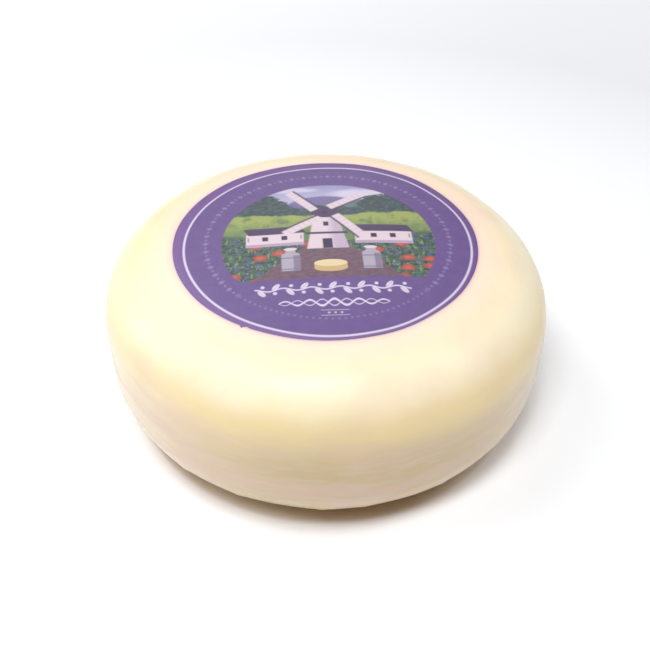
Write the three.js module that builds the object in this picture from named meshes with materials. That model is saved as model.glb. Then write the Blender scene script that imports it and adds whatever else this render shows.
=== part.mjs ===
// A small wheel of pressed cheese in its smooth coat, with a round paper label on its crown.
// Millimetres, +Z up. The origin is the middle of the flat base the wheel stands on.
// The label's near edge points to -Y and its far edge to +Y.

import * as THREE from "three";

// The wheel in section: a flat base, a bulging side, a domed crown and two equal shoulders.
const WHEEL_DIAMETER = 244;
const WHEEL_HEIGHT = 103;
const WIDEST_HEIGHT = 48; // how far above the base the side bulges out most
const SIDE_BULGE_RADIUS = 280;
const SHOULDER_RADIUS = 37;
const CROWN_DOME_RADIUS = 600;

// The label lies on the crown a little off centre, as it was put on by hand.
const LABEL_DIAMETER = 164;
const LABEL_THICKNESS = 0.4;
const LABEL_TO_LEFT = 0.6;
const LABEL_TO_BACK = 1.0;
const CONTACT_GAP = 0.3;

// How finely the round shapes are stepped.
const STEPS_ROUND_THE_AXIS = 96;
const STEPS_ON_SHOULDER = 7;
const STEPS_ON_SIDE = 5;
const STEPS_ON_CROWN = 5;

const CREAM_COAT = { color: 0xf1e2bf, roughness: 0.42, metalness: 0 };
const PURPLE_PAPER = { color: 0x7a6399, roughness: 0.55, metalness: 0 };

// Centres of the section's large arcs: x is the distance from the axis, y the height.
const sideCentre = new THREE.Vector2(WHEEL_DIAMETER / 2 - SIDE_BULGE_RADIUS, WIDEST_HEIGHT);
const crownCentre = new THREE.Vector2(0, WHEEL_HEIGHT - CROWN_DOME_RADIUS);

// The upper shoulder touches the side arc and the crown arc from inside, so its centre is
// where two smaller circles about their centres cross.
function upperShoulderCentre() {
  const fromSide = SIDE_BULGE_RADIUS - SHOULDER_RADIUS;
  const fromCrown = CROWN_DOME_RADIUS - SHOULDER_RADIUS;
  const between = crownCentre.clone().sub(sideCentre);
  const span = between.length();
  const along = (fromSide ** 2 - fromCrown ** 2 + span ** 2) / (2 * span);
  const across = Math.sqrt(fromSide ** 2 - along ** 2);
  const inward = between.normalize();
  const outward = new THREE.Vector2(-inward.y, inward.x);
  return sideCentre.clone().addScaledVector(inward, along).addScaledVector(outward, across);
}

// The lower shoulder touches the side arc from inside and the flat base from above.
function lowerShoulderCentre() {
  const fromSide = SIDE_BULGE_RADIUS - SHOULDER_RADIUS;
  const drop = WIDEST_HEIGHT - SHOULDER_RADIUS;
  return new THREE.Vector2(sideCentre.x + Math.sqrt(fromSide ** 2 - drop ** 2), SHOULDER_RADIUS);
}

// Points of one arc of a section, without its first point, which the arc before it has.
function arcAfterStart(centre, radius, from, to, steps) {
  const arc = new THREE.EllipseCurve(centre.x, centre.y, radius, radius, from, to, from > to);
  return arc.getPoints(steps).slice(1);
}

function directionOf(from, to) {
  return to.clone().sub(from).angle();
}

// The wheel's section from the middle of the base, out, up the side and back over the crown.
function wheelSection() {
  const lower = lowerShoulderCentre();
  const upper = upperShoulderCentre();
  const sideStart = directionOf(sideCentre, lower) - 2 * Math.PI;
  const sideEnd = directionOf(sideCentre, upper);
  const crownStart = directionOf(crownCentre, upper);
  return [
    new THREE.Vector2(0, 0),
    new THREE.Vector2(lower.x, 0),
    ...arcAfterStart(lower, SHOULDER_RADIUS, -Math.PI / 2, sideStart, STEPS_ON_SHOULDER),
    ...arcAfterStart(sideCentre, SIDE_BULGE_RADIUS, sideStart, sideEnd, STEPS_ON_SIDE),
    ...arcAfterStart(upper, SHOULDER_RADIUS, sideEnd, crownStart, STEPS_ON_SHOULDER),
    ...arcAfterStart(crownCentre, CROWN_DOME_RADIUS, crownStart, Math.PI / 2, STEPS_ON_CROWN),
  ];
}

// The label's section about the centre of the dome that it lies on: out along its underside,
// up its edge and back over its face.
function labelSection() {
  const underside = CROWN_DOME_RADIUS + CONTACT_GAP;
  const face = underside + LABEL_THICKNESS;
  const middle = Math.PI / 2;
  const edge = middle - LABEL_DIAMETER / 2 / CROWN_DOME_RADIUS;
  const domeCentre = new THREE.Vector2();
  return [
    new THREE.Vector2(0, underside),
    ...arcAfterStart(domeCentre, underside, middle, edge, STEPS_ON_CROWN),
    new THREE.Vector2(face * Math.cos(edge), face * Math.sin(edge)),
    ...arcAfterStart(domeCentre, face, edge, middle, STEPS_ON_CROWN),
  ];
}

// A section turned round the upright axis.
function turned(section) {
  return new THREE.LatheGeometry(section, STEPS_ROUND_THE_AXIS).rotateX(Math.PI / 2);
}

function cheeseWheel() {
  const wheel = new THREE.Mesh(turned(wheelSection()), new THREE.MeshStandardMaterial(CREAM_COAT));
  wheel.name = "cheese_wheel";
  return wheel;
}

// The label slides on the dome, so its shift is a small turn about the dome's centre.
function paperLabel() {
  const label = new THREE.Mesh(turned(labelSection()), new THREE.MeshStandardMaterial(PURPLE_PAPER));
  label.name = "paper_label";
  label.position.z = crownCentre.y;
  label.rotation.x = -LABEL_TO_BACK / CROWN_DOME_RADIUS;
  label.rotation.y = -LABEL_TO_LEFT / CROWN_DOME_RADIUS;
  return label;
}

const cheese = new THREE.Group();
cheese.add(cheeseWheel(), paperLabel());

export default cheese;
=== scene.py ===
"""A small coated cheese wheel with a round printed paper label on its crown.

Metres, +Z up. The wheel stands on its flat base at the origin, and the label's near edge
points to -Y.
"""

import bisect
import math

import bmesh
import bpy
from mathutils import Matrix, Vector, noise


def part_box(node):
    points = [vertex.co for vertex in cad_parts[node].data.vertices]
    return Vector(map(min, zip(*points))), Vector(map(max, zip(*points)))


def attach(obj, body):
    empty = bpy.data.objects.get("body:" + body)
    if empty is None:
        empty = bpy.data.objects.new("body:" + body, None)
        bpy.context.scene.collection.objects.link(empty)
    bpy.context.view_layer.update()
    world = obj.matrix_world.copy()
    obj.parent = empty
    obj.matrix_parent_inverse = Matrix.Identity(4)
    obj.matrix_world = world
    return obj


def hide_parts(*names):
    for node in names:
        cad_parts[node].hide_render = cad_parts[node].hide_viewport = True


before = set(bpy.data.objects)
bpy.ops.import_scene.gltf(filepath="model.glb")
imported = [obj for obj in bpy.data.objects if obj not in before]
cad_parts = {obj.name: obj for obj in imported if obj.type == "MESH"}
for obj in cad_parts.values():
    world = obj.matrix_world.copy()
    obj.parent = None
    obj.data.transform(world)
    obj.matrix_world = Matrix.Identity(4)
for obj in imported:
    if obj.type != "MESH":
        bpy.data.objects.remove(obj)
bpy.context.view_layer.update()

MM = 0.001

# The wheel's section, worked out from the frame: a flat base, a bulging side, a domed crown.
wheel_low, wheel_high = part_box("cheese_wheel")
WHEEL_RADIUS = (wheel_high.x - wheel_low.x) / 2
WHEEL_HEIGHT = wheel_high.z
WIDEST_HEIGHT = 0.466 * WHEEL_HEIGHT
SIDE_BULGE_RADIUS = 2.295 * WHEEL_RADIUS
SHOULDER_RADIUS = 0.3033 * WHEEL_RADIUS
CROWN_DOME_RADIUS = 4.918 * WHEEL_RADIUS

# The label, from the frame.
label_low, label_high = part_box("paper_label")
LABEL_RADIUS = (label_high.x - label_low.x) / 2
LABEL_X = (label_high.x + label_low.x) / 2
LABEL_Y = (label_high.y + label_low.y) / 2
LABEL_THICKNESS = 0.15 * MM
LABEL_LIFT = 0.03 * MM
LABEL_TURN = math.radians(3.6)

# How finely the meshes are stepped.
WHEEL_SEGMENTS = 360
SECTION_STEP = 2.0 * MM
LABEL_SEGMENTS = 720
LABEL_RINGS = 24


# Shader maths --------------------------------------------------------------------------------------


def colour(text):
    """A colour written as six hex digits, as the linear values that shaders take."""
    parts = [int(text[i : i + 2], 16) / 255 for i in (0, 2, 4)]
    return [p / 12.92 if p <= 0.04045 else ((p + 0.055) / 1.055) ** 2.4 for p in parts] + [1.0]


class Amount:
    """A number that varies over a surface. Arithmetic on it adds Math nodes to its finish."""

    def __init__(self, finish, socket):
        self.finish = finish
        self.socket = socket

    def maths(self, operation, *others, **settings):
        settings["operation"] = operation
        terms = dict(enumerate((self, *others)))
        return self.finish.amount("ShaderNodeMath", settings, terms)

    def __add__(self, other):
        return self.maths("ADD", other)

    __radd__ = __add__

    def __mul__(self, other):
        return self.maths("MULTIPLY", other)

    __rmul__ = __mul__

    def __sub__(self, other):
        return self.maths("SUBTRACT", other)

    def __rsub__(self, other):
        return self.finish.amount("ShaderNodeMath", {"operation": "SUBTRACT"}, {0: other, 1: self})

    def __truediv__(self, other):
        return self.maths("DIVIDE", other)

    def __neg__(self):
        return self * -1.0

    def __abs__(self):
        return self.maths("ABSOLUTE")

    def __mod__(self, other):
        return self.maths("FLOORED_MODULO", other)

    def sine(self):
        return self.maths("SINE")

    def root(self):
        return self.maths("SQRT")

    def over(self, edge, softness):
        """1 where the amount is over the edge, 0 where it is under it, soft between."""
        slope = 1 / softness
        return self.maths("MULTIPLY_ADD", slope, 0.5 - edge * slope, use_clamp=True)

    def under(self, edge, softness):
        """1 where the amount is under the edge, 0 where it is over it, soft between."""
        slope = 1 / softness
        return self.maths("MULTIPLY_ADD", -slope, 0.5 + edge * slope, use_clamp=True)

    def cell(self, start, pitch):
        """Where the amount is in its repeat, from minus half a pitch to half a pitch."""
        return ((self - start) / pitch % 1.0 - 0.5) * pitch


class Nodes:
    """The nodes of one finish, or of the white tent round the wheel."""

    def __init__(self, owner):
        owner.use_nodes = True
        self.tree = owner.node_tree
        self.tree.nodes.clear()

    def node(self, kind, settings, sockets):
        """A node of this kind, with its settings set first and then its sockets."""
        made = self.tree.nodes.new(kind)
        for name, value in settings.items():
            setattr(made, name, value)
        for key, value in sockets.items():
            socket = self.input_of(made, key)
            if isinstance(value, Amount):
                self.tree.links.new(value.socket, socket)
            elif isinstance(value, bpy.types.NodeSocket):
                self.tree.links.new(value, socket)
            else:
                socket.default_value = value
        return made

    @staticmethod
    def input_of(node, key):
        if isinstance(key, int):
            return node.inputs[key]
        return next(s for s in node.inputs if s.enabled and s.name == key)

    def amount(self, kind, settings, sockets, output=0):
        return Amount(self, self.node(kind, settings, sockets).outputs[output])


class Finish(Nodes):
    """One material."""

    def __init__(self, name):
        self.material = bpy.data.materials.new(name)
        super().__init__(self.material)

    def mix(self, share, below, above):
        """The colour below, with the colour above over it by that share."""
        sockets = {"Factor": share, "A": below, "B": above}
        made = self.node("ShaderNodeMix", {"data_type": "RGBA"}, sockets)
        return next(s for s in made.outputs if s.enabled)

    def place(self):
        """Where a surface point is on its piece, as a vector socket."""
        return self.node("ShaderNodeTexCoord", {}, {}).outputs["Object"]

    def stretched(self, place, scale):
        sockets = {0: place, 1: scale}
        return self.node("ShaderNodeVectorMath", {"operation": "MULTIPLY"}, sockets).outputs[0]

    def moved(self, place, shift):
        sockets = {0: place, 1: shift}
        return self.node("ShaderNodeVectorMath", {"operation": "ADD"}, sockets).outputs[0]

    def joined(self, x=0.0, y=0.0, z=0.0):
        return self.node("ShaderNodeCombineXYZ", {}, {"X": x, "Y": y, "Z": z}).outputs[0]

    def part(self, place, axis):
        """One of a place's three numbers."""
        return self.amount("ShaderNodeSeparateXYZ", {}, {0: place}, axis)

    def bump(self, relief, strength, depth):
        sockets = {"Strength": strength, "Distance": depth, "Height": relief}
        return self.node("ShaderNodeBump", {}, sockets).outputs[0]

    def clouds(self, place, scale, detail=2.0, roughness=0.5):
        """Soft random clouds around 0.5."""
        sockets = {"Vector": place, "Scale": scale, "Detail": detail, "Roughness": roughness}
        return self.amount("ShaderNodeTexNoise", {}, sockets)

    def put_on(self, piece):
        piece.data.materials.clear()
        piece.data.materials.append(self.material)

    def finished(self, surface, constants):
        """The finish's one Principled shader and its output."""
        shader = self.node("ShaderNodeBsdfPrincipled", {}, {**constants, **surface})
        self.node("ShaderNodeOutputMaterial", {}, {"Surface": shader.outputs[0]})
        return self


class Layers:
    """Tints of one finish, laid over each other."""

    def __init__(self, finish, ground):
        self.finish = finish
        self.tint = ground

    def lay(self, shape, tint):
        """A tint over the ones so far, where the shape is 1 and partly where it is less."""
        self.tint = self.finish.mix(shape, self.tint, tint)


# The wheel's shape ---------------------------------------------------------------------------------


def upper_shoulder_centre(side_centre, crown_centre):
    """The shoulder touches the side arc and the crown arc from inside."""
    from_side = SIDE_BULGE_RADIUS - SHOULDER_RADIUS
    from_crown = CROWN_DOME_RADIUS - SHOULDER_RADIUS
    between = crown_centre - side_centre
    span = between.length
    along = (from_side**2 - from_crown**2 + span**2) / (2 * span)
    across = math.sqrt(from_side**2 - along**2)
    inward = between / span
    return side_centre + inward * along + Vector((-inward.y, inward.x)) * across


def lower_shoulder_centre(side_centre):
    """The lower shoulder touches the side arc from inside and the flat base from above."""
    from_side = SIDE_BULGE_RADIUS - SHOULDER_RADIUS
    drop = WIDEST_HEIGHT - SHOULDER_RADIUS
    return Vector((side_centre.x + math.sqrt(from_side**2 - drop**2), SHOULDER_RADIUS))


def direction(start, end):
    return math.atan2(end.y - start.y, end.x - start.x)


def arc(centre, radius, start, end):
    """(distance from the axis, height, outward x, outward z) along an arc, without its end."""
    steps = max(2, round(abs(end - start) * radius / SECTION_STEP))
    for i in range(steps):
        angle = start + (end - start) * i / steps
        out = Vector((math.cos(angle), math.sin(angle)))
        yield (centre.x + radius * out.x, centre.y + radius * out.y, out.x, out.y)


def wheel_section():
    """The wheel's section from the rim of the flat base to just short of the crown's middle."""
    side = Vector((WHEEL_RADIUS - SIDE_BULGE_RADIUS, WIDEST_HEIGHT))
    crown = Vector((0.0, WHEEL_HEIGHT - CROWN_DOME_RADIUS))
    upper = upper_shoulder_centre(side, crown)
    lower = lower_shoulder_centre(side)
    yield from arc(lower, SHOULDER_RADIUS, -math.pi / 2, direction(side, lower))
    yield from arc(side, SIDE_BULGE_RADIUS, direction(side, lower), direction(side, upper))
    yield from arc(upper, SHOULDER_RADIUS, direction(side, upper), direction(crown, upper))
    yield from arc(crown, CROWN_DOME_RADIUS, direction(crown, upper), math.pi / 2)


def soft_step(value, start, end):
    share = min(1.0, max(0.0, (value - start) / (end - start)))
    return share * share * (3 - 2 * share)


# The lower shoulder was pressed a little flat as the wheel was turned on its board. These are
# the corners between the flats, in degrees from the viewer's side towards the right.
FOOT_CORNERS = (10.5, 31, 49, 77, 98, 121, 140, 166, 187, 214, 238, 259, 283, 304, 321, 337.5, 359)
FLAT_DEPTH = 0.6 * MM
CORNERS_PROUD = 0.4 * MM

# The slow swells and the smaller dents of the coat: how high they stand, how wide they are, and
# where in the noise they are taken from.
SWELL_HEIGHT = 0.65 * MM
SWELL_WIDTH = 70 * MM
SWELL_PLACE = Vector((3.1, 0.4, 7.7))
DENT_HEIGHT = 0.40 * MM
DENT_WIDTH = 26 * MM
DENT_PLACE = Vector((8.3, 5.2, 1.9))


def flat_depth(place):
    """How deep the flat between its two corners is pressed here, up to a limit."""
    turn = math.degrees(math.atan2(place.x, -place.y)) % 360
    after = bisect.bisect(FOOT_CORNERS, turn)
    end = FOOT_CORNERS[after] if after < len(FOOT_CORNERS) else FOOT_CORNERS[0] + 360
    start = FOOT_CORNERS[after - 1] if after > 0 else FOOT_CORNERS[-1] - 360
    half = math.radians(end - start) / 2
    from_middle = math.radians(turn - start) - half
    radius = math.hypot(place.x, place.y)
    chord = radius * math.cos(half) / math.cos(from_middle)
    return FLAT_DEPTH * (1 - math.exp((chord - radius) / FLAT_DEPTH))


def unevenness(place):
    """How far the coat stands off the turned shape here: slow swells, dents and foot flats."""
    swell = SWELL_HEIGHT * noise.noise(place / SWELL_WIDTH + SWELL_PLACE)
    dents = DENT_HEIGHT * noise.noise(place / DENT_WIDTH + DENT_PLACE)
    above_foot = soft_step(place.z, 1 * MM, 14 * MM)
    foot_band = soft_step(place.z, 0.5 * MM, 5 * MM) * (1 - soft_step(place.z, 14 * MM, 30 * MM))
    return (swell + dents) * above_foot + (CORNERS_PROUD - flat_depth(place)) * foot_band


def ring(mesh, radius, height, out, rise):
    """A ring of the wheel's vertices, each moved along its outward direction by the unevenness."""
    made = []
    for i in range(WHEEL_SEGMENTS):
        angle = math.tau * i / WHEEL_SEGMENTS
        around = Vector((math.cos(angle), math.sin(angle), 0.0))
        place = around * radius + Vector((0.0, 0.0, height))
        outward = around * out + Vector((0.0, 0.0, rise))
        made.append(mesh.verts.new(place + outward * unevenness(place)))
    return made


def bridge(mesh, below, above):
    """Quads between two rings, facing out where the second ring is the higher one."""
    count = len(below)
    for i in range(count):
        j = (i + 1) % count
        mesh.faces.new((below[i], below[j], above[j], above[i]))


def fan(mesh, edge, tip, upward):
    """Triangles from a ring to one vertex in its middle."""
    count = len(edge)
    for i in range(count):
        j = (i + 1) % count
        corners = (edge[i], edge[j], tip) if upward else (edge[j], edge[i], tip)
        mesh.faces.new(corners)


def piece_from(mesh, name):
    data = bpy.data.meshes.new(name)
    mesh.normal_update()
    mesh.to_mesh(data)
    mesh.free()
    data.shade_smooth()
    piece = bpy.data.objects.new(name, data)
    bpy.context.scene.collection.objects.link(piece)
    return piece


def make_wheel():
    """The wheel as one closed skin, with its base flat on the ground."""
    mesh = bmesh.new()
    section = list(wheel_section())
    foot_radius = section[0][0]
    inner = [ring(mesh, foot_radius * share, 0.0, 0.0, 0.0) for share in (0.25, 0.5, 0.75)]
    fan(mesh, inner[0], mesh.verts.new((0.0, 0.0, 0.0)), upward=False)
    rings = inner + [ring(mesh, *point) for point in section]
    for below, above in zip(rings, rings[1:]):
        bridge(mesh, below, above)
    top = Vector((0.0, 0.0, WHEEL_HEIGHT))
    tip = mesh.verts.new(top + Vector((0.0, 0.0, unevenness(top))))
    fan(mesh, rings[-1], tip, upward=True)
    return piece_from(mesh, "coated_wheel")


# The label's shape ---------------------------------------------------------------------------------


def crown_place(x, y, lift):
    """The point at a height over the crown's uneven skin."""
    drop = CROWN_DOME_RADIUS - math.sqrt(CROWN_DOME_RADIUS**2 - x * x - y * y)
    on_dome = Vector((x, y, WHEEL_HEIGHT - drop))
    return on_dome + Vector((0.0, 0.0, unevenness(on_dome) + lift))


# The cut edge wavers. One fleck of the sheet is left on it, with a small tear beside the fleck.
EDGE_INSET = 0.2 * MM
EDGE_WAVER = 0.12 * MM
FLECK_ANGLE = math.radians(241)
FLECK_REACH = 1.3 * MM
FLECK_WIDTH = 0.8 * MM
TEAR_DEPTH = 0.5 * MM
TEAR_WIDTH = 1.2 * MM
TEAR_PLACE = 2.4 * MM


def label_edge(angle):
    """The label's radius in a direction: a slightly wavering cut, with a fleck left on it."""
    waver = EDGE_WAVER * noise.noise(Vector((3 * math.cos(angle), 3 * math.sin(angle), 5.0)))
    from_fleck = math.remainder(angle - FLECK_ANGLE, math.tau) * LABEL_RADIUS
    fleck = FLECK_REACH * math.exp(-((from_fleck / FLECK_WIDTH) ** 2))
    tear = TEAR_DEPTH * math.exp(-(((from_fleck - TEAR_PLACE) / TEAR_WIDTH) ** 2))
    return LABEL_RADIUS - EDGE_INSET + waver + fleck - tear


def label_ring(mesh, share, lift):
    made = []
    for i in range(LABEL_SEGMENTS):
        angle = math.tau * i / LABEL_SEGMENTS
        reach = label_edge(angle) * share
        x = LABEL_X + reach * math.cos(angle)
        y = LABEL_Y + reach * math.sin(angle)
        made.append(mesh.verts.new(crown_place(x, y, lift)))
    return made


def make_label():
    """The paper as a thin closed disc that follows the crown, its cut edge a little rounded."""
    mesh = bmesh.new()
    top = LABEL_LIFT + LABEL_THICKNESS
    shares = [(i + 1) / LABEL_RINGS for i in range(LABEL_RINGS)]
    under = [label_ring(mesh, share, LABEL_LIFT) for share in shares]
    edge = [label_ring(mesh, 1.0008, LABEL_LIFT + 0.6 * LABEL_THICKNESS)]
    face = [label_ring(mesh, share, top) for share in reversed(shares)]
    rings = under + edge + face
    for below, above in zip(rings, rings[1:]):
        bridge(mesh, below, above)
    fan(mesh, under[0], mesh.verts.new(crown_place(LABEL_X, LABEL_Y, LABEL_LIFT)), upward=False)
    fan(mesh, face[-1], mesh.verts.new(crown_place(LABEL_X, LABEL_Y, top)), upward=True)
    return piece_from(mesh, "printed_label")


# The coat's finish ---------------------------------------------------------------------------------

CREAM = colour("f0dcbc")
# Painted highlight: the shoulder, where the top light falls strongest, is paler.
PAINTED_SHOULDER_HIGHLIGHT = colour("f6e9ca")
# Painted light: a yellower band where the top light gives way to shade, and a yellower painted
# highlight high on the lit left.
PAINTED_LIGHT_BUTTER = colour("f0db9e")
# Painted shade: the side below the shoulder, turned away from the top light, is darker and pinker.
PAINTED_SIDE_SHADE = colour("e4ceab")
# Painted shade: a darker patch low on the front of the side.
PAINTED_FRONT_SHADE = colour("d9c298")
# Painted sheen: a paler patch low on the front left.
PAINTED_SHEEN_CREAM = colour("f3e6cb")
ROSE_CREAM = colour("e4c8b2")
SAGE_CREAM = colour("e2d4b4")
HALO_CREAM = colour("f1d5c7")
EDGE_CREAM = colour("e4c8b6")
# Painted shade: the foot, in the shade under the bulge, is darker and warmer.
PAINTED_FOOT_SHADE = colour("eab87c")
INK_BLEED = colour("b79cc4")
FOLD_SHINE = colour("fdf8ee")
FOLD_SHADE = colour("d8bf98")
BOARD_MARK = colour("dcb98c")

# Heights where the coat's tints begin and end, and how far they wander up and down.
SHOULDER_LOW = 0.76 * WHEEL_HEIGHT
SHOULDER_HIGH = 0.90 * WHEEL_HEIGHT
PAINTED_SIDE_SHADE_TOP = 0.56 * WHEEL_HEIGHT
STREAKS_TOP = 0.62 * WHEEL_HEIGHT
BUTTER_LOW = 0.61 * WHEEL_HEIGHT
BUTTER_HIGH = 0.77 * WHEEL_HEIGHT
TINT_WANDER = 16 * MM
STREAK_WANDER = 9 * MM

# Three soft patches of painted light on the side: a darker painted shade low on the front, a
# yellower painted highlight high on the left and a paler painted sheen low on the front left.
# The middle of each from above, and its radius and soft edge.
PAINTED_FRONT_SHADE_PATCH = (0.12 * WHEEL_RADIUS, -WHEEL_RADIUS, 60 * MM, 60 * MM)
PAINTED_FRONT_SHADE_TOP = 0.67 * WHEEL_HEIGHT
PAINTED_HIGHLIGHT_PATCH = (-WHEEL_RADIUS, 0.05 * WHEEL_RADIUS, 50 * MM, 70 * MM)
PAINTED_HIGHLIGHT_LOW = 0.62 * WHEEL_HEIGHT
PAINTED_SHEEN_PATCH = (-0.82 * WHEEL_RADIUS, -0.57 * WHEEL_RADIUS, 38 * MM, 40 * MM)
PAINTED_SHEEN_TOP = 0.70 * WHEEL_HEIGHT

# How far the pale halo and the pinkish edge reach from the label.
HALO_REACH = 8 * MM
EDGE_REACH = 1.4 * MM

# The marks of the slatted board under the base.
SLAT_PITCH = 21 * MM
SLAT_MARK = 1.2 * MM

# Fine folds and scrapes in the coat. Each is given by where its middle is, in degrees from the
# viewer's side towards the right and in height, by its slant in degrees and by half its length.
SCRAPES = (
    (309, 37.5 * MM, -9, 27 * MM),
    (305, 44.0 * MM, -14, 13 * MM),
    (317, 37.0 * MM, -8, 12 * MM),
    (303, 54.0 * MM, -16, 9 * MM),
    (50.5, 53.0 * MM, 12, 11 * MM),
    (53.5, 50.0 * MM, 9, 8 * MM),
    (128, 58.0 * MM, -7, 9 * MM),
    (196, 40.0 * MM, 11, 12 * MM),
    (238, 62.0 * MM, -18, 7 * MM),
)

# One pale speck high on the side.
SPECK_ANGLE = math.radians(359.8)
SPECK_HEIGHT = 74.4 * MM


def on_side(around, height):
    """A point of the bulging side, and the way out of it, at an angle round from the viewer."""
    rise = height - WIDEST_HEIGHT
    radius = WHEEL_RADIUS - SIDE_BULGE_RADIUS + math.sqrt(SIDE_BULGE_RADIUS**2 - rise**2)
    out = Vector((math.sin(around), -math.cos(around), 0.0))
    return out * radius + Vector((0.0, 0.0, height)), out


def far_from(finish, place, middle):
    """How far a point is from a middle, in metres."""
    settings = {"operation": "DISTANCE"}
    return finish.amount("ShaderNodeVectorMath", settings, {0: place, 1: middle}, "Value")


def from_axis(finish, place, x, y):
    """How far a point is from an upright line, in metres."""
    return far_from(finish, finish.stretched(place, (1.0, 1.0, 0.0)), (x, y, 0.0))


def patch(finish, place, x, y, radius, softness):
    """A soft round patch, as seen from above."""
    return from_axis(finish, place, x, y).under(radius, softness)


def scrape(finish, place, around, height, slant, half_length):
    """One fold's shine and the shade beside it."""
    middle, out = on_side(math.radians(around), height)
    level = Vector((-out.y, out.x, 0.0))
    tilt = math.radians(slant)
    along = level * math.cos(tilt) + Vector((0.0, 0.0, math.sin(tilt)))
    across = out.cross(along)
    settings = {"operation": "DOT_PRODUCT"}
    beside = finish.amount("ShaderNodeVectorMath", settings, {0: place, 1: across}, "Value")
    beside = beside - across.dot(middle)
    near = far_from(finish, place, middle).under(half_length * 0.75, half_length * 0.5)
    shine = abs(beside).under(0.35 * MM, 0.7 * MM) * near
    shade = abs(beside - 0.9 * MM).under(0.35 * MM, 0.6 * MM) * near
    return shine, shade


def wiped_streaks(finish, place):
    """The long level streaks that the brush and the turning board leave round the side."""
    wander = (finish.clouds(place, 24.0) - 0.5) * STREAK_WANDER
    held = finish.moved(place, finish.joined(z=wander))
    fine = finish.clouds(finish.stretched(held, (42.0, 42.0, 300.0)), 1.0, 3.0, 0.6)
    broad = finish.clouds(finish.stretched(held, (22.0, 22.0, 110.0)), 1.0, 2.0, 0.5)
    return fine, broad


def lay_creams(coat, place, height, mottle):
    """Painted light: a paler painted highlight on the shoulder, a darker painted shade on the side
    with three soft patches of painted light, and a buttery painted terminator band between them.
    """
    finish = coat.finish
    wavering = height + (finish.clouds(place, 26.0) - 0.5) * TINT_WANDER
    # Painted highlight on the shoulder.
    coat.lay(height.over(SHOULDER_LOW, 8 * MM) * height.under(SHOULDER_HIGH, 7 * MM), PAINTED_SHOULDER_HIGHLIGHT)
    # Painted shade on the side.
    coat.lay(wavering.under(PAINTED_SIDE_SHADE_TOP, 14 * MM), PAINTED_SIDE_SHADE)
    # Painted shade low on the front.
    front_shade = patch(finish, place, *PAINTED_FRONT_SHADE_PATCH) * wavering.under(PAINTED_FRONT_SHADE_TOP, 24 * MM)
    coat.lay(front_shade, PAINTED_FRONT_SHADE)
    # Painted highlight tint high on the left shoulder.
    painted_highlight = patch(finish, place, *PAINTED_HIGHLIGHT_PATCH) * height.over(PAINTED_HIGHLIGHT_LOW, 20 * MM)
    coat.lay(painted_highlight * 0.45, PAINTED_LIGHT_BUTTER)
    # Painted terminator: the yellower band where the top light gives way to shade.
    band = wavering.over(BUTTER_LOW, 24 * MM) * wavering.under(BUTTER_HIGH, 13 * MM)
    coat.lay(band * (0.35 + mottle * 0.8), PAINTED_LIGHT_BUTTER)
    # Painted sheen low on the front left.
    painted_sheen = patch(finish, place, *PAINTED_SHEEN_PATCH) * height.under(PAINTED_SHEEN_TOP, 25 * MM)
    coat.lay(painted_sheen * 0.5, PAINTED_SHEEN_CREAM)


def lay_streaks(coat, side, mottle, fine, broad):
    """Rosy and greenish streaks round the side, and faint rosy clouds all over."""
    coat.lay(broad.over(0.50, 0.16) * side * 0.75, ROSE_CREAM)
    coat.lay(fine.over(0.54, 0.12) * side * 0.4, SAGE_CREAM)
    coat.lay(mottle.over(0.58, 0.2) * 0.3, ROSE_CREAM)


def lay_halo(coat, place):
    """A pale halo, a pinkish edge and a little bled ink round the label."""
    from_label = from_axis(coat.finish, place, LABEL_X, LABEL_Y)
    coat.lay(from_label.under(LABEL_RADIUS + HALO_REACH, 15 * MM) * 0.8, HALO_CREAM)
    coat.lay(from_label.under(LABEL_RADIUS + EDGE_REACH, 4 * MM) * 0.9, EDGE_CREAM)
    coat.lay(from_label.under(LABEL_RADIUS, 2.4 * MM) * 0.9, INK_BLEED)


def lay_foot(coat, place, height):
    """A darker amber foot, painted shade that also warms the light thrown into the floor's shadow,
    and the marks of the slatted board under the base.
    """
    # Painted shade: a darker, warmer foot.
    coat.lay(height.under(10 * MM, 8 * MM) * 0.85, PAINTED_FOOT_SHADE)
    slats = abs(coat.finish.part(place, "X").cell(0.0, SLAT_PITCH)).under(SLAT_MARK, 1.5 * MM)
    coat.lay(slats * height.under(1.5 * MM, 1 * MM) * 0.5, BOARD_MARK)


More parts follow.
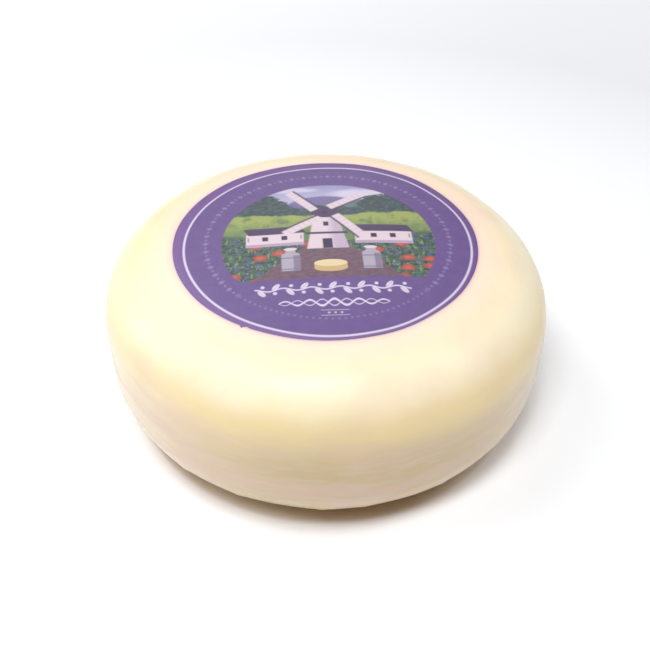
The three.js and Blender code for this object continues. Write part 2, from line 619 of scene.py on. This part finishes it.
def coat_finish():
    """The cream coat: a satin skin that lets a little light in, under a thin clear gloss."""
    finish = Finish("cream_coat")
    place = finish.place()
    height = finish.part(place, "Z")
    fine, broad = wiped_streaks(finish, place)
    mottle = finish.clouds(place, 22.0, 3.0, 0.55)
    side = height.under(STREAKS_TOP, 30 * MM)
    coat = Layers(finish, CREAM)
    lay_creams(coat, place, height, mottle)
    lay_streaks(coat, side, mottle, fine, broad)
    lay_halo(coat, place)
    lay_foot(coat, place, height)
    grain = finish.clouds(place, 700.0, 3.0)
    dimples = finish.clouds(place, 120.0, 2.0)
    relief = fine * side * 0.5 + grain * 0.12 + dimples * 0.35
    for details in SCRAPES:
        shine, shade = scrape(finish, place, *details)
        coat.lay(shine * 0.6, FOLD_SHINE)
        coat.lay(shade * 0.4, FOLD_SHADE)
        relief = relief + shine * 0.6
    speck = far_from(finish, place, on_side(SPECK_ANGLE, SPECK_HEIGHT)[0]).under(0.8 * MM, 0.5 * MM)
    coat.lay(speck, FOLD_SHINE)
    roughness = 0.50 + mottle * 0.1 + fine * 0.08
    normal = finish.bump(relief, 0.3, 0.4 * MM)
    surface = {"Base Color": coat.tint, "Roughness": roughness, "Normal": normal}
    constants = {
        "Subsurface Weight": 0.2,
        "Subsurface Radius": (1.0, 0.55, 0.25),
        "Subsurface Scale": 4 * MM,
        "Specular IOR Level": 0.2,
        "Coat Weight": 1.0,
        "Coat Roughness": 0.27,
        "Coat IOR": 1.24,
    }
    return finish.finished(surface, constants)


# The label's print ---------------------------------------------------------------------------------
# Places on the print are in label radii from its middle: x to the right and y to the far side.
# Turns are in degrees.

PURPLE_PAPER = colour("685486")
DEEP_PURPLE = colour("5a4778")
RIM_PURPLE = colour("72568c")
WHITE_INK = colour("c9bdd3")
FAINT_INK = colour("877aa4")

# The print is a little off the middle of its paper, and the white rule a little off the print's.
PRINT_X = 0.015
PRINT_Y = -0.034
RULE_X = -0.001
RULE_Y = 0.004
RULE_RADIUS = 0.938
RULE_WIDTH = 0.015
BEAD_RING_RADIUS = 0.797
BEAD_RADIUS = 0.0085
LOZENGES = 58
LOZENGE_HALF_WIDTH = 0.017
LOZENGE_HALF_HEIGHT = 0.024
SMALL_BEADS = 132
WINDOW_RADIUS = 0.694
WINDOW_Y = -0.042
SILL_Y = WINDOW_Y - 0.56 * WINDOW_RADIUS
GARLAND_Y = -0.527
GARLAND_HALF = 0.48
LEAF_TURN = 52
LEAF_OFFSET = 0.026
BERRY_OFFSET = 0.032
BERRY_RADIUS = 0.0125
BRAID_Y = -0.657
BRAID_HALF = 0.335
BRAID_WAVE = 0.03
SMALL_RULE_Y = -0.746
SMALL_RULE_GAP = 0.022
DOT_PITCH = 0.038
DOT_RADIUS = 0.0075
CRISP = 0.008


def distance(x, y):
    return (x * x + y * y).root()


def rule_distance(x, y):
    """How far a point of the print is from the middle of the white rule."""
    return distance(x - RULE_X, y - RULE_Y)


def disc(x, y, radius, softness=CRISP):
    """1 inside a disc round the zero point, 0 outside it."""
    return distance(x, y).under(radius, softness)


def oval(x, y, half_width, half_height, softness=0.1):
    """1 inside an oval, 0 outside it. The softness is a share of its size."""
    return distance(x / half_width, y / half_height).under(1.0, softness)


def block(x, y, half_width, half_height, softness=0.012):
    """1 inside an upright rectangle, 0 outside it."""
    return abs(x).under(half_width, softness) * abs(y).under(half_height, softness)


def turned(x, y, degrees):
    """The same point in axes turned anticlockwise."""
    along, across = math.cos(math.radians(degrees)), math.sin(math.radians(degrees))
    return x * along + y * across, y * along - x * across


def label_plane(finish, place):
    """Where a point of the label is on its print."""
    x = (finish.part(place, "X") - LABEL_X) / LABEL_RADIUS
    y = (finish.part(place, "Y") - LABEL_Y) / LABEL_RADIUS
    x, y = turned(x, y, math.degrees(LABEL_TURN))
    return x - PRINT_X, y - PRINT_Y


def lay_bead_ring(art, x, y):
    """A faint ring of lozenges and dots round the picture, smaller towards the viewer."""
    radius = distance(x, y)
    across = radius - BEAD_RING_RADIUS
    angle = x.maths("ARCTAN2", y)
    pitch = math.tau / LOZENGES
    beside = abs(angle.cell(0.0, pitch)) * (BEAD_RING_RADIUS / LOZENGE_HALF_WIDTH)
    lozenge = beside + abs(across) / LOZENGE_HALF_HEIGHT
    dot = disc(angle.cell(pitch / 2, pitch) * BEAD_RING_RADIUS, across, BEAD_RADIUS)
    upper = y.over(-0.55, 0.06)
    art.lay(lozenge.under(1.0, 0.35) * upper * 0.8, FAINT_INK)
    art.lay(dot * upper * 0.8, FAINT_INK)
    bead = disc(angle.cell(0.0, math.tau / SMALL_BEADS) * BEAD_RING_RADIUS, across, BEAD_RADIUS)
    art.lay(bead * (1 - upper) * 0.6, FAINT_INK)


def lay_garland(art, x, y):
    """A row of leaves on a waving stem."""
    pitch = GARLAND_HALF / 5.5
    rise = y - GARLAND_Y
    stem = (x * (math.pi / pitch)).sine() * 0.012
    shown = abs(x).under(GARLAND_HALF, CRISP)
    art.lay(abs(rise - stem).under(0.006, CRISP) * shown, WHITE_INK)
    for side, start in ((1, 0.0), (-1, pitch)):
        beside = x.cell(start - pitch, 2 * pitch)
        leaf_x, leaf_y = turned(beside, rise - side * LEAF_OFFSET, side * LEAF_TURN)
        leaf = oval(leaf_x, leaf_y, 0.034, 0.0165, 0.35)
        vein = abs(leaf_y).under(0.0015, 0.004) * 0.5
        art.lay(leaf * (1 - vein) * shown, WHITE_INK)
        berry_x = x.cell(start, 2 * pitch) - side * 0.006
        berry = disc(berry_x, rise - side * BERRY_OFFSET, BERRY_RADIUS)
        art.lay(berry * shown, WHITE_INK)


def lay_braid(art, x, y):
    """Two ribbons that cross each other, thinner towards their ends."""
    phase = x * (math.pi / (BRAID_HALF / 4.5))
    wave = phase.maths("COSINE") * BRAID_WAVE
    taper = (1 - abs(x) * (0.75 / BRAID_HALF)).root()
    shown = abs(x).under(BRAID_HALF, CRISP)
    rise = y - BRAID_Y
    broad = (abs(rise - wave * taper) / taper).under(0.0105, CRISP)
    slim = (abs(rise + wave * taper) / taper).under(0.0055, 0.006)
    art.lay(slim * shown * 0.85, WHITE_INK)
    art.lay(broad * shown, WHITE_INK)


def lay_small_rules(art, x, y):
    """Two short rules with three dots between them."""
    rise = y - SMALL_RULE_Y
    rules = abs(abs(rise) - SMALL_RULE_GAP).under(0.0022, 0.004) * abs(x).under(0.085, CRISP)
    art.lay(rules * 0.8, WHITE_INK)
    dots = disc(x.cell(DOT_PITCH / 2, DOT_PITCH), rise, DOT_RADIUS)
    art.lay(dots * abs(x).under(1.5 * DOT_PITCH, CRISP) * 0.8, WHITE_INK)


# The picture's own places are in window radii from the window's middle.

HIGH_SKY = colour("7f86b0")
LOW_SKY = colour("b3b2c6")
CLOUD = colour("cbc7d6")
FAR_HILL = colour("6c6790")
NEAR_HILL = colour("54716c")
TREE_DARK = colour("1d4030")
TREE_BLUE = colour("2c4a52")
TREE_LIGHT = colour("436b40")
MEADOW = colour("5c7c3c")
MEADOW_LIGHT = colour("9aa84a")
MEADOW_DARK = colour("3d6638")
FIELD_DARK = colour("173c2c")
FIELD_LIGHT = colour("3f6b42")
GRASS_BLADE = colour("86a058")
POPPY = colour("a0481f")
POPPY_LIGHT = colour("b96337")
CORNFLOWER = colour("4a558a")
PATH = colour("695754")
PATH_DARK = colour("4c3d40")
WHITEWASH = colour("d3c4c8")
WHITEWASH_SHADE = colour("a897ae")
SLATE = colour("3b3749")
DOOR = colour("1c2630")
STEEL = colour("a39fa8")
STEEL_SHADE = colour("6c697a")
CHEESE_RIND = colour("c2a56a")
CHEESE_FACE = colour("d8c797")
PAPER_SHOWING = colour("9770aa")

SOFT = 0.018
MILL_X = -0.01
MILL_BAND_Y = 0.10
HUB_Y = 0.45
SAIL_TURN = 34
SAIL_START = 0.09
SAIL_REACH = 0.52
SAIL_WIDTH = 0.10
SAIL_SLATS = 0.062
BARNS_X = (-0.50, 0.52)
BARN_HALF_WIDTH = 0.27
BARN_Y = 0.03
ROOF_Y = 0.17
CHURNS_X = (-0.36, 0.38)
CHURN_Y = -0.34
CHURN_HALF_WIDTH = 0.085
CHURN_HALF_HEIGHT = 0.11
LITTLE_CHEESE_Y = -0.36
LITTLE_CHEESE_RADIUS = 0.15


def lay_sky(art, x, y, puffs):
    """A deeper blue high up, two clouds and two far hills."""
    art.lay(y.over(0.86, 0.4), HIGH_SKY)
    art.lay(oval(x - 0.42, y - 0.80 + puffs * 0.10, 0.34, 0.085, 0.5) * 0.9, CLOUD)
    art.lay(oval(x + 0.30, y - 0.90 + puffs * 0.08, 0.22, 0.05, 0.6) * 0.8, CLOUD)
    art.lay(oval(x + 0.02, y - 0.50 + puffs * 0.04, 0.40, 0.26, 0.1), FAR_HILL)
    art.lay(oval(x - 0.34, y - 0.48 + puffs * 0.06, 0.50, 0.20, 0.1), NEAR_HILL)


def lay_trees(art, x, y, puffs, leaves):
    """Dark woods on both sides that fall away to a low hedge in the middle."""
    wood = (y + puffs * 0.5 - abs(x).over(0.55, 0.6) * 0.5).under(0.56, 0.05)
    art.lay(wood, TREE_DARK)
    art.lay(wood * puffs.over(0.02, 0.14) * 0.7, TREE_BLUE)
    art.lay(wood * leaves.over(0.55, 0.16) * 0.75, TREE_LIGHT)


def lay_meadow(art, x, y, puffs, leaves):
    """Sunlit grass with darker hollows, its far edge higher at the sides."""
    ground = (y + puffs * 0.14 - abs(x) * 0.10).under(0.38, 0.03)
    art.lay(ground, MEADOW)
    art.lay(ground * (y + puffs * 0.5).over(0.22, 0.2) * 0.8, MEADOW_LIGHT)
    art.lay(ground * puffs.over(0.08, 0.14) * 0.7, MEADOW_DARK)
    art.lay(ground * leaves.over(0.60, 0.12) * 0.6, GRASS_BLADE)


def scattered(finish, spread, scale, size, kept):
    """Dabs one to a cell, in only some of the cells, and how far a point is from its dab."""
    sockets = {"Vector": spread, "Scale": scale, "Randomness": 0.85}
    cells = finish.node("ShaderNodeTexVoronoi", {"voronoi_dimensions": "2D"}, sockets)
    draw = finish.amount("ShaderNodeSeparateColor", {}, {0: cells.outputs["Color"]})
    from_middle = Amount(finish, cells.outputs["Distance"])
    return from_middle, from_middle.under(size, 0.07) * draw.under(kept, 0.01)


def lay_flower_field(art, x, y, puffs, leaves):
    """Deep green growth with blades of grass, poppies and smaller blue flowers."""
    field = (y + puffs * 0.16 - abs(x) * 0.22).under(-0.08, 0.07)
    art.lay(field, FIELD_DARK)
    art.lay(field * leaves.over(0.5, 0.16), FIELD_LIGHT)
    finish = art.finish
    spread = finish.joined(x + leaves * 0.10, y * 1.5)
    blades = finish.clouds(finish.stretched(spread, (34.0, 8.0, 1.0)), 1.0, 2.0, 0.6)
    art.lay(field * blades.over(0.60, 0.08) * 0.7, GRASS_BLADE)
    cornflowers = scattered(finish, spread, 9.5, 0.22, 0.6)[1]
    art.lay(field * cornflowers * 0.9, CORNFLOWER)
    from_middle, poppies = scattered(finish, spread, 4.4, 0.29, 0.5)
    art.lay(field * poppies, POPPY)
    art.lay(field * poppies * from_middle.under(0.16, 0.12) * 0.8, POPPY_LIGHT)


def lay_path(art, x, y, puffs, leaves):
    """An earth path that widens towards the sill."""
    width = 0.07 - (y - 0.02) * 1.05 + puffs * 0.03
    path = (abs(x + 0.02) - width).under(0.0, 0.03) * y.under(0.02, 0.03)
    art.lay(path, PATH)
    art.lay(path * leaves.over(0.5, 0.2) * 0.6, PATH_DARK)


def lay_barns(art, x, y):
    """A low whitewashed barn on each side of the mill."""
    for middle in BARNS_X:
        along = x - middle
        over_eaves = y - ROOF_Y
        art.lay(block(along, y - BARN_Y, BARN_HALF_WIDTH, 0.10), WHITEWASH)
        art.lay(block(along, y - BARN_Y + 0.08, BARN_HALF_WIDTH, 0.02), WHITEWASH_SHADE)
        art.lay(block(along + over_eaves * 0.5, over_eaves, BARN_HALF_WIDTH, 0.055), SLATE)
        windows = block(along.cell(0.0, 0.18), y - BARN_Y - 0.02, 0.028, 0.032)
        art.lay(windows * abs(along).under(0.25, SOFT), DOOR)


def lay_mill(art, x, y):
    """A whitewashed mill with a slate gallery, a round cap and four cloth sails."""
    beside = x - MILL_X
    taper = abs(beside) + (y - MILL_BAND_Y) * 0.16
    tower = taper.under(0.155, SOFT) * abs(y - 0.16).under(0.30, SOFT)
    art.lay(tower, WHITEWASH)
    art.lay(tower * x.over(0.03, 0.08) * 0.7, WHITEWASH_SHADE)
    art.lay(block(beside, y - MILL_BAND_Y, 0.20, 0.016), SLATE)
    art.lay(block(beside, y + 0.065, 0.045, 0.075), DOOR)
    art.lay(block(beside, y - 0.25, 0.025, 0.035), DOOR)
    art.lay(oval(beside, y - HUB_Y - 0.01, 0.13, 0.10, 0.06), SLATE)
    hub_x, hub_y = turned(beside, y - HUB_Y, SAIL_TURN)
    for along, across in ((hub_x, hub_y), (hub_y, -hub_x)):
        lay_sail(art, along, across)
    art.lay(disc(hub_x, hub_y, 0.03), DOOR)


def lay_sail(art, along, across):
    """Two sails on one spar, their cloth on opposite sides of it."""
    out = abs(along)
    beside = across * along.maths("SIGN")
    blade = out.over(SAIL_START, SOFT) * out.under(SAIL_REACH, SOFT)
    cloth = blade * beside.over(0.0, SOFT) * beside.under(SAIL_WIDTH, SOFT)
    art.lay(cloth, WHITEWASH)
    slats = abs(along.cell(0.0, SAIL_SLATS)).under(0.004, 0.006)
    art.lay(cloth * slats * 0.5, WHITEWASH_SHADE)
    art.lay(abs(across).under(0.011, SOFT) * out.under(SAIL_REACH + 0.01, SOFT), SLATE)


def lay_churn(art, x, y):
    """A steel milk churn: body, shoulder, neck and lid."""
    art.lay(block(x, y, CHURN_HALF_WIDTH, CHURN_HALF_HEIGHT), STEEL)
    art.lay(oval(x, y - CHURN_HALF_HEIGHT, CHURN_HALF_WIDTH, 0.05, 0.06), STEEL)
    art.lay(block(x, y - 0.17, 0.045, 0.03), STEEL)
    art.lay(oval(x, y - 0.205, 0.062, 0.022, 0.08), WHITEWASH)
    art.lay(block(x - 0.055, y, 0.03, CHURN_HALF_HEIGHT) * 0.8, STEEL_SHADE)
    for hoop_y in (0.075, -0.085):
        art.lay(block(x, y - hoop_y, CHURN_HALF_WIDTH, 0.008) * 0.8, STEEL_SHADE)


def lay_little_cheese(art, x, y):
    """A small wheel of cheese, seen a little from above."""
    art.lay(oval(x, y + 0.07, LITTLE_CHEESE_RADIUS, 0.05, 0.05), CHEESE_RIND)
    art.lay(block(x, y + 0.035, LITTLE_CHEESE_RADIUS, 0.035), CHEESE_RIND)
    art.lay(oval(x, y, LITTLE_CHEESE_RADIUS, 0.05, 0.05), CHEESE_FACE)


def farm_picture(finish, x, y):
    """A dairy farm: sky, hills and trees, a mill between two barns, churns in a flower field."""
    spread = finish.joined(x, y)
    puffs = finish.clouds(spread, 5.5, 3.0, 0.6) - 0.5
    leaves = finish.clouds(finish.stretched(spread, (1.0, 1.7, 1.0)), 16.0, 3.0, 0.65)
    art = Layers(finish, LOW_SKY)
    lay_sky(art, x, y, puffs)
    lay_trees(art, x, y, puffs, leaves)
    lay_meadow(art, x, y, puffs, leaves)
    lay_flower_field(art, x, y, puffs, leaves)
    lay_path(art, x, y, puffs, leaves)
    lay_barns(art, x, y)
    lay_mill(art, x, y)
    for churn_x in CHURNS_X:
        lay_churn(art, x - churn_x, y - CHURN_Y)
    lay_little_cheese(art, x, y - LITTLE_CHEESE_Y)
    art.lay(0.14, PAPER_SHOWING)
    return art


def paper_art(finish, place, x, y):
    """The purple paper, its rim a little redder outside the rule, its ink a little uneven."""
    art = Layers(finish, PURPLE_PAPER)
    cloudy = finish.clouds(place, 160.0, 4.0, 0.6)
    art.lay(cloudy.over(0.5, 0.3) * 0.35, DEEP_PURPLE)
    art.lay(rule_distance(x, y).over(RULE_RADIUS, 0.02) * 0.8, RIM_PURPLE)
    return art


def label_finish():
    """The printed paper: white rule, bead ring, ornaments and the round picture over its sill."""
    finish = Finish("printed_paper")
    place = finish.place()
    x, y = label_plane(finish, place)
    art = paper_art(finish, place, x, y)
    art.lay(abs(rule_distance(x, y) - RULE_RADIUS).under(RULE_WIDTH / 2, CRISP), WHITE_INK)
    lay_bead_ring(art, x, y)
    lay_garland(art, x, y)
    lay_braid(art, x, y)
    lay_small_rules(art, x, y)
    window_x, window_y = x / WINDOW_RADIUS, (y - WINDOW_Y) / WINDOW_RADIUS
    window = disc(window_x, window_y, 1.0, 0.016) * y.over(SILL_Y, 0.012)
    art.lay(window, farm_picture(finish, window_x, window_y).tint)
    fibres = finish.clouds(finish.stretched(place, (900.0, 300.0, 300.0)), 1.0, 3.0)
    ripples = finish.clouds(place, 45.0, 2.0)
    relief = fibres * 0.25 + ripples
    normal = finish.bump(relief, 0.25, 0.3 * MM)
    surface = {"Base Color": art.tint, "Roughness": 0.42 + fibres * 0.14, "Normal": normal}
    return finish.finished(surface, {"Specular IOR Level": 0.5})


# The studio ----------------------------------------------------------------------------------------

FLOOR_REACH = 4.0
FLOOR_WHITE = (0.94, 0.955, 0.985, 1.0)
# The near tint is cooler, painted to cancel the warm light the wheel throws on the floor. The under
# tint is a painted shadow round the wheel's foot.
FLOOR_NEAR = (0.95, 0.97, 1.0, 1.0)
PAINTED_FLOOR_SHADOW = (0.78, 0.76, 0.70, 1.0)
BLACK = (0.0, 0.0, 0.0, 1.0)
SWEEP_GLOW = (0.90, 0.925, 0.975, 1.0)

# How far from the wheel's axis the floor's tints meet.
# Where the painted shadow gives way to the cooler painted ring.
PAINTED_SHADOW_REACH = 0.91 * WHEEL_RADIUS
NEAR_REACH = 1.3 * WHEEL_RADIUS
GLOW_REACH = 8 * WHEEL_RADIUS


def make_floor():
    """A pale floor with a painted warm shadow round the wheel's foot, a cooler ring beyond it
    painted to cancel the wheel's warm bounce light, and lit up like a sweep far from it.
    """
    mesh = bmesh.new()
    bmesh.ops.create_grid(mesh, x_segments=2, y_segments=2, size=FLOOR_REACH)
    floor = piece_from(mesh, "studio_floor")
    finish = Finish("pale_floor")
    away = from_axis(finish, finish.place(), 0.0, 0.0)
    # Painted shadow round the foot, then the cooler painted ring, then white.
    paint = Layers(finish, PAINTED_FLOOR_SHADOW)
    paint.lay(away.over(PAINTED_SHADOW_REACH, 0.02 * WHEEL_RADIUS), FLOOR_NEAR)
    paint.lay(away.over(NEAR_REACH, 0.6 * WHEEL_RADIUS), FLOOR_WHITE)
    glow = Layers(finish, BLACK)
    glow.lay(away.over(GLOW_REACH, 8 * WHEEL_RADIUS), SWEEP_GLOW)
    surface = {"Base Color": paint.tint, "Emission Color": glow.tint}
    finish.finished(surface, {"Roughness": 0.7, "Emission Strength": 1.0}).put_on(floor)


# Each soft box: name, direction round the wheel from the viewer's side towards the right, height
# above the ground, both in degrees, its width in metres and its power in watts.
SOFT_BOXES = (
    ("front_box", 6, 72, 0.28, 4.1),
    ("front_left_box", 336, 62, 0.28, 4.4),
    ("right_box", 90, 50, 0.4, 3.3),
    ("left_box", 270, 60, 0.4, 2.6),
    ("low_left_box", 270, 20, 0.4, 2.8),
    ("back_left_box", 225, 40, 0.5, 2.5),
    ("back_box", 180, 30, 0.4, 1.1),
)
BOX_DISTANCE = 1.1
TENT_WHITE = (1.0, 1.0, 1.0, 1.0)
TENT_GLOW = 0.06
MIDDLE = Vector((0.0, 0.0, WHEEL_HEIGHT / 2))


def soft_box(name, around, above, width, power):
    """A square soft box that faces the middle of the wheel."""
    light = bpy.data.lights.new(name, "AREA")
    light.size = width
    light.energy = power
    lamp = bpy.data.objects.new(name, light)
    bpy.context.scene.collection.objects.link(lamp)
    turn, lift = math.radians(around), math.radians(above)
    flat = Vector((math.sin(turn), -math.cos(turn), 0.0)) * math.cos(lift)
    outward = flat + Vector((0.0, 0.0, math.sin(lift)))
    place = MIDDLE + outward * BOX_DISTANCE
    facing = (-outward).to_track_quat("-Z", "Y").to_matrix().to_4x4()
    lamp.matrix_world = Matrix.Translation(place) @ facing


def make_lights():
    """The soft boxes in a white tent, which looks bright but adds only a little light."""
    for box in SOFT_BOXES:
        soft_box(*box)
    world = bpy.data.worlds.new("white_tent")
    tent = Nodes(world)
    seen = tent.node("ShaderNodeLightPath", {}, {}).outputs["Is Camera Ray"]
    sockets = {"Value": seen, "To Min": TENT_GLOW, "To Max": 1.0}
    strength = tent.amount("ShaderNodeMapRange", {}, sockets)
    sockets = {"Color": TENT_WHITE, "Strength": strength}
    backdrop = tent.node("ShaderNodeBackground", {}, sockets)
    tent.node("ShaderNodeOutputWorld", {}, {"Surface": backdrop.outputs[0]})
    bpy.context.scene.world = world


# Where the camera stands: distances are in wheel radii from the wheel's middle.
CAMERA_DISTANCE = 4.317 * WHEEL_RADIUS
CAMERA_ELEVATION = math.radians(39.31)
CAMERA_ROLL = math.radians(0.29)
CAMERA_LENS = 51.13
CAMERA_SENSOR = 36.0
AIM_LEFT = 0.0046 * WHEEL_RADIUS
AIM_BELOW = 0.1053 * WHEEL_RADIUS


def make_camera():
    """The camera, aimed a little below the middle of the wheel."""
    camera = bpy.data.cameras.new("studio_camera")
    camera.lens = CAMERA_LENS
    camera.sensor_width = CAMERA_SENSOR
    stand = bpy.data.objects.new("studio_camera", camera)
    bpy.context.scene.collection.objects.link(stand)
    back = Vector((0.0, -math.cos(CAMERA_ELEVATION), math.sin(CAMERA_ELEVATION)))
    place = MIDDLE + back * CAMERA_DISTANCE
    toward = MIDDLE + Vector((-AIM_LEFT, 0.0, -AIM_BELOW)) - place
    facing = toward.to_track_quat("-Z", "Y").to_matrix().to_4x4()
    stand.matrix_world = Matrix.Translation(place) @ facing @ Matrix.Rotation(CAMERA_ROLL, 4, "Z")
    bpy.context.scene.camera = stand


make_camera()
make_lights()
make_floor()

wheel = make_wheel()
coat_finish().put_on(wheel)
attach(wheel, "root")
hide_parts("cheese_wheel")

label = make_label()
label_finish().put_on(label)
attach(label, "root")
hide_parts("paper_label")

bpy.context.scene.view_settings.view_transform = "Standard"
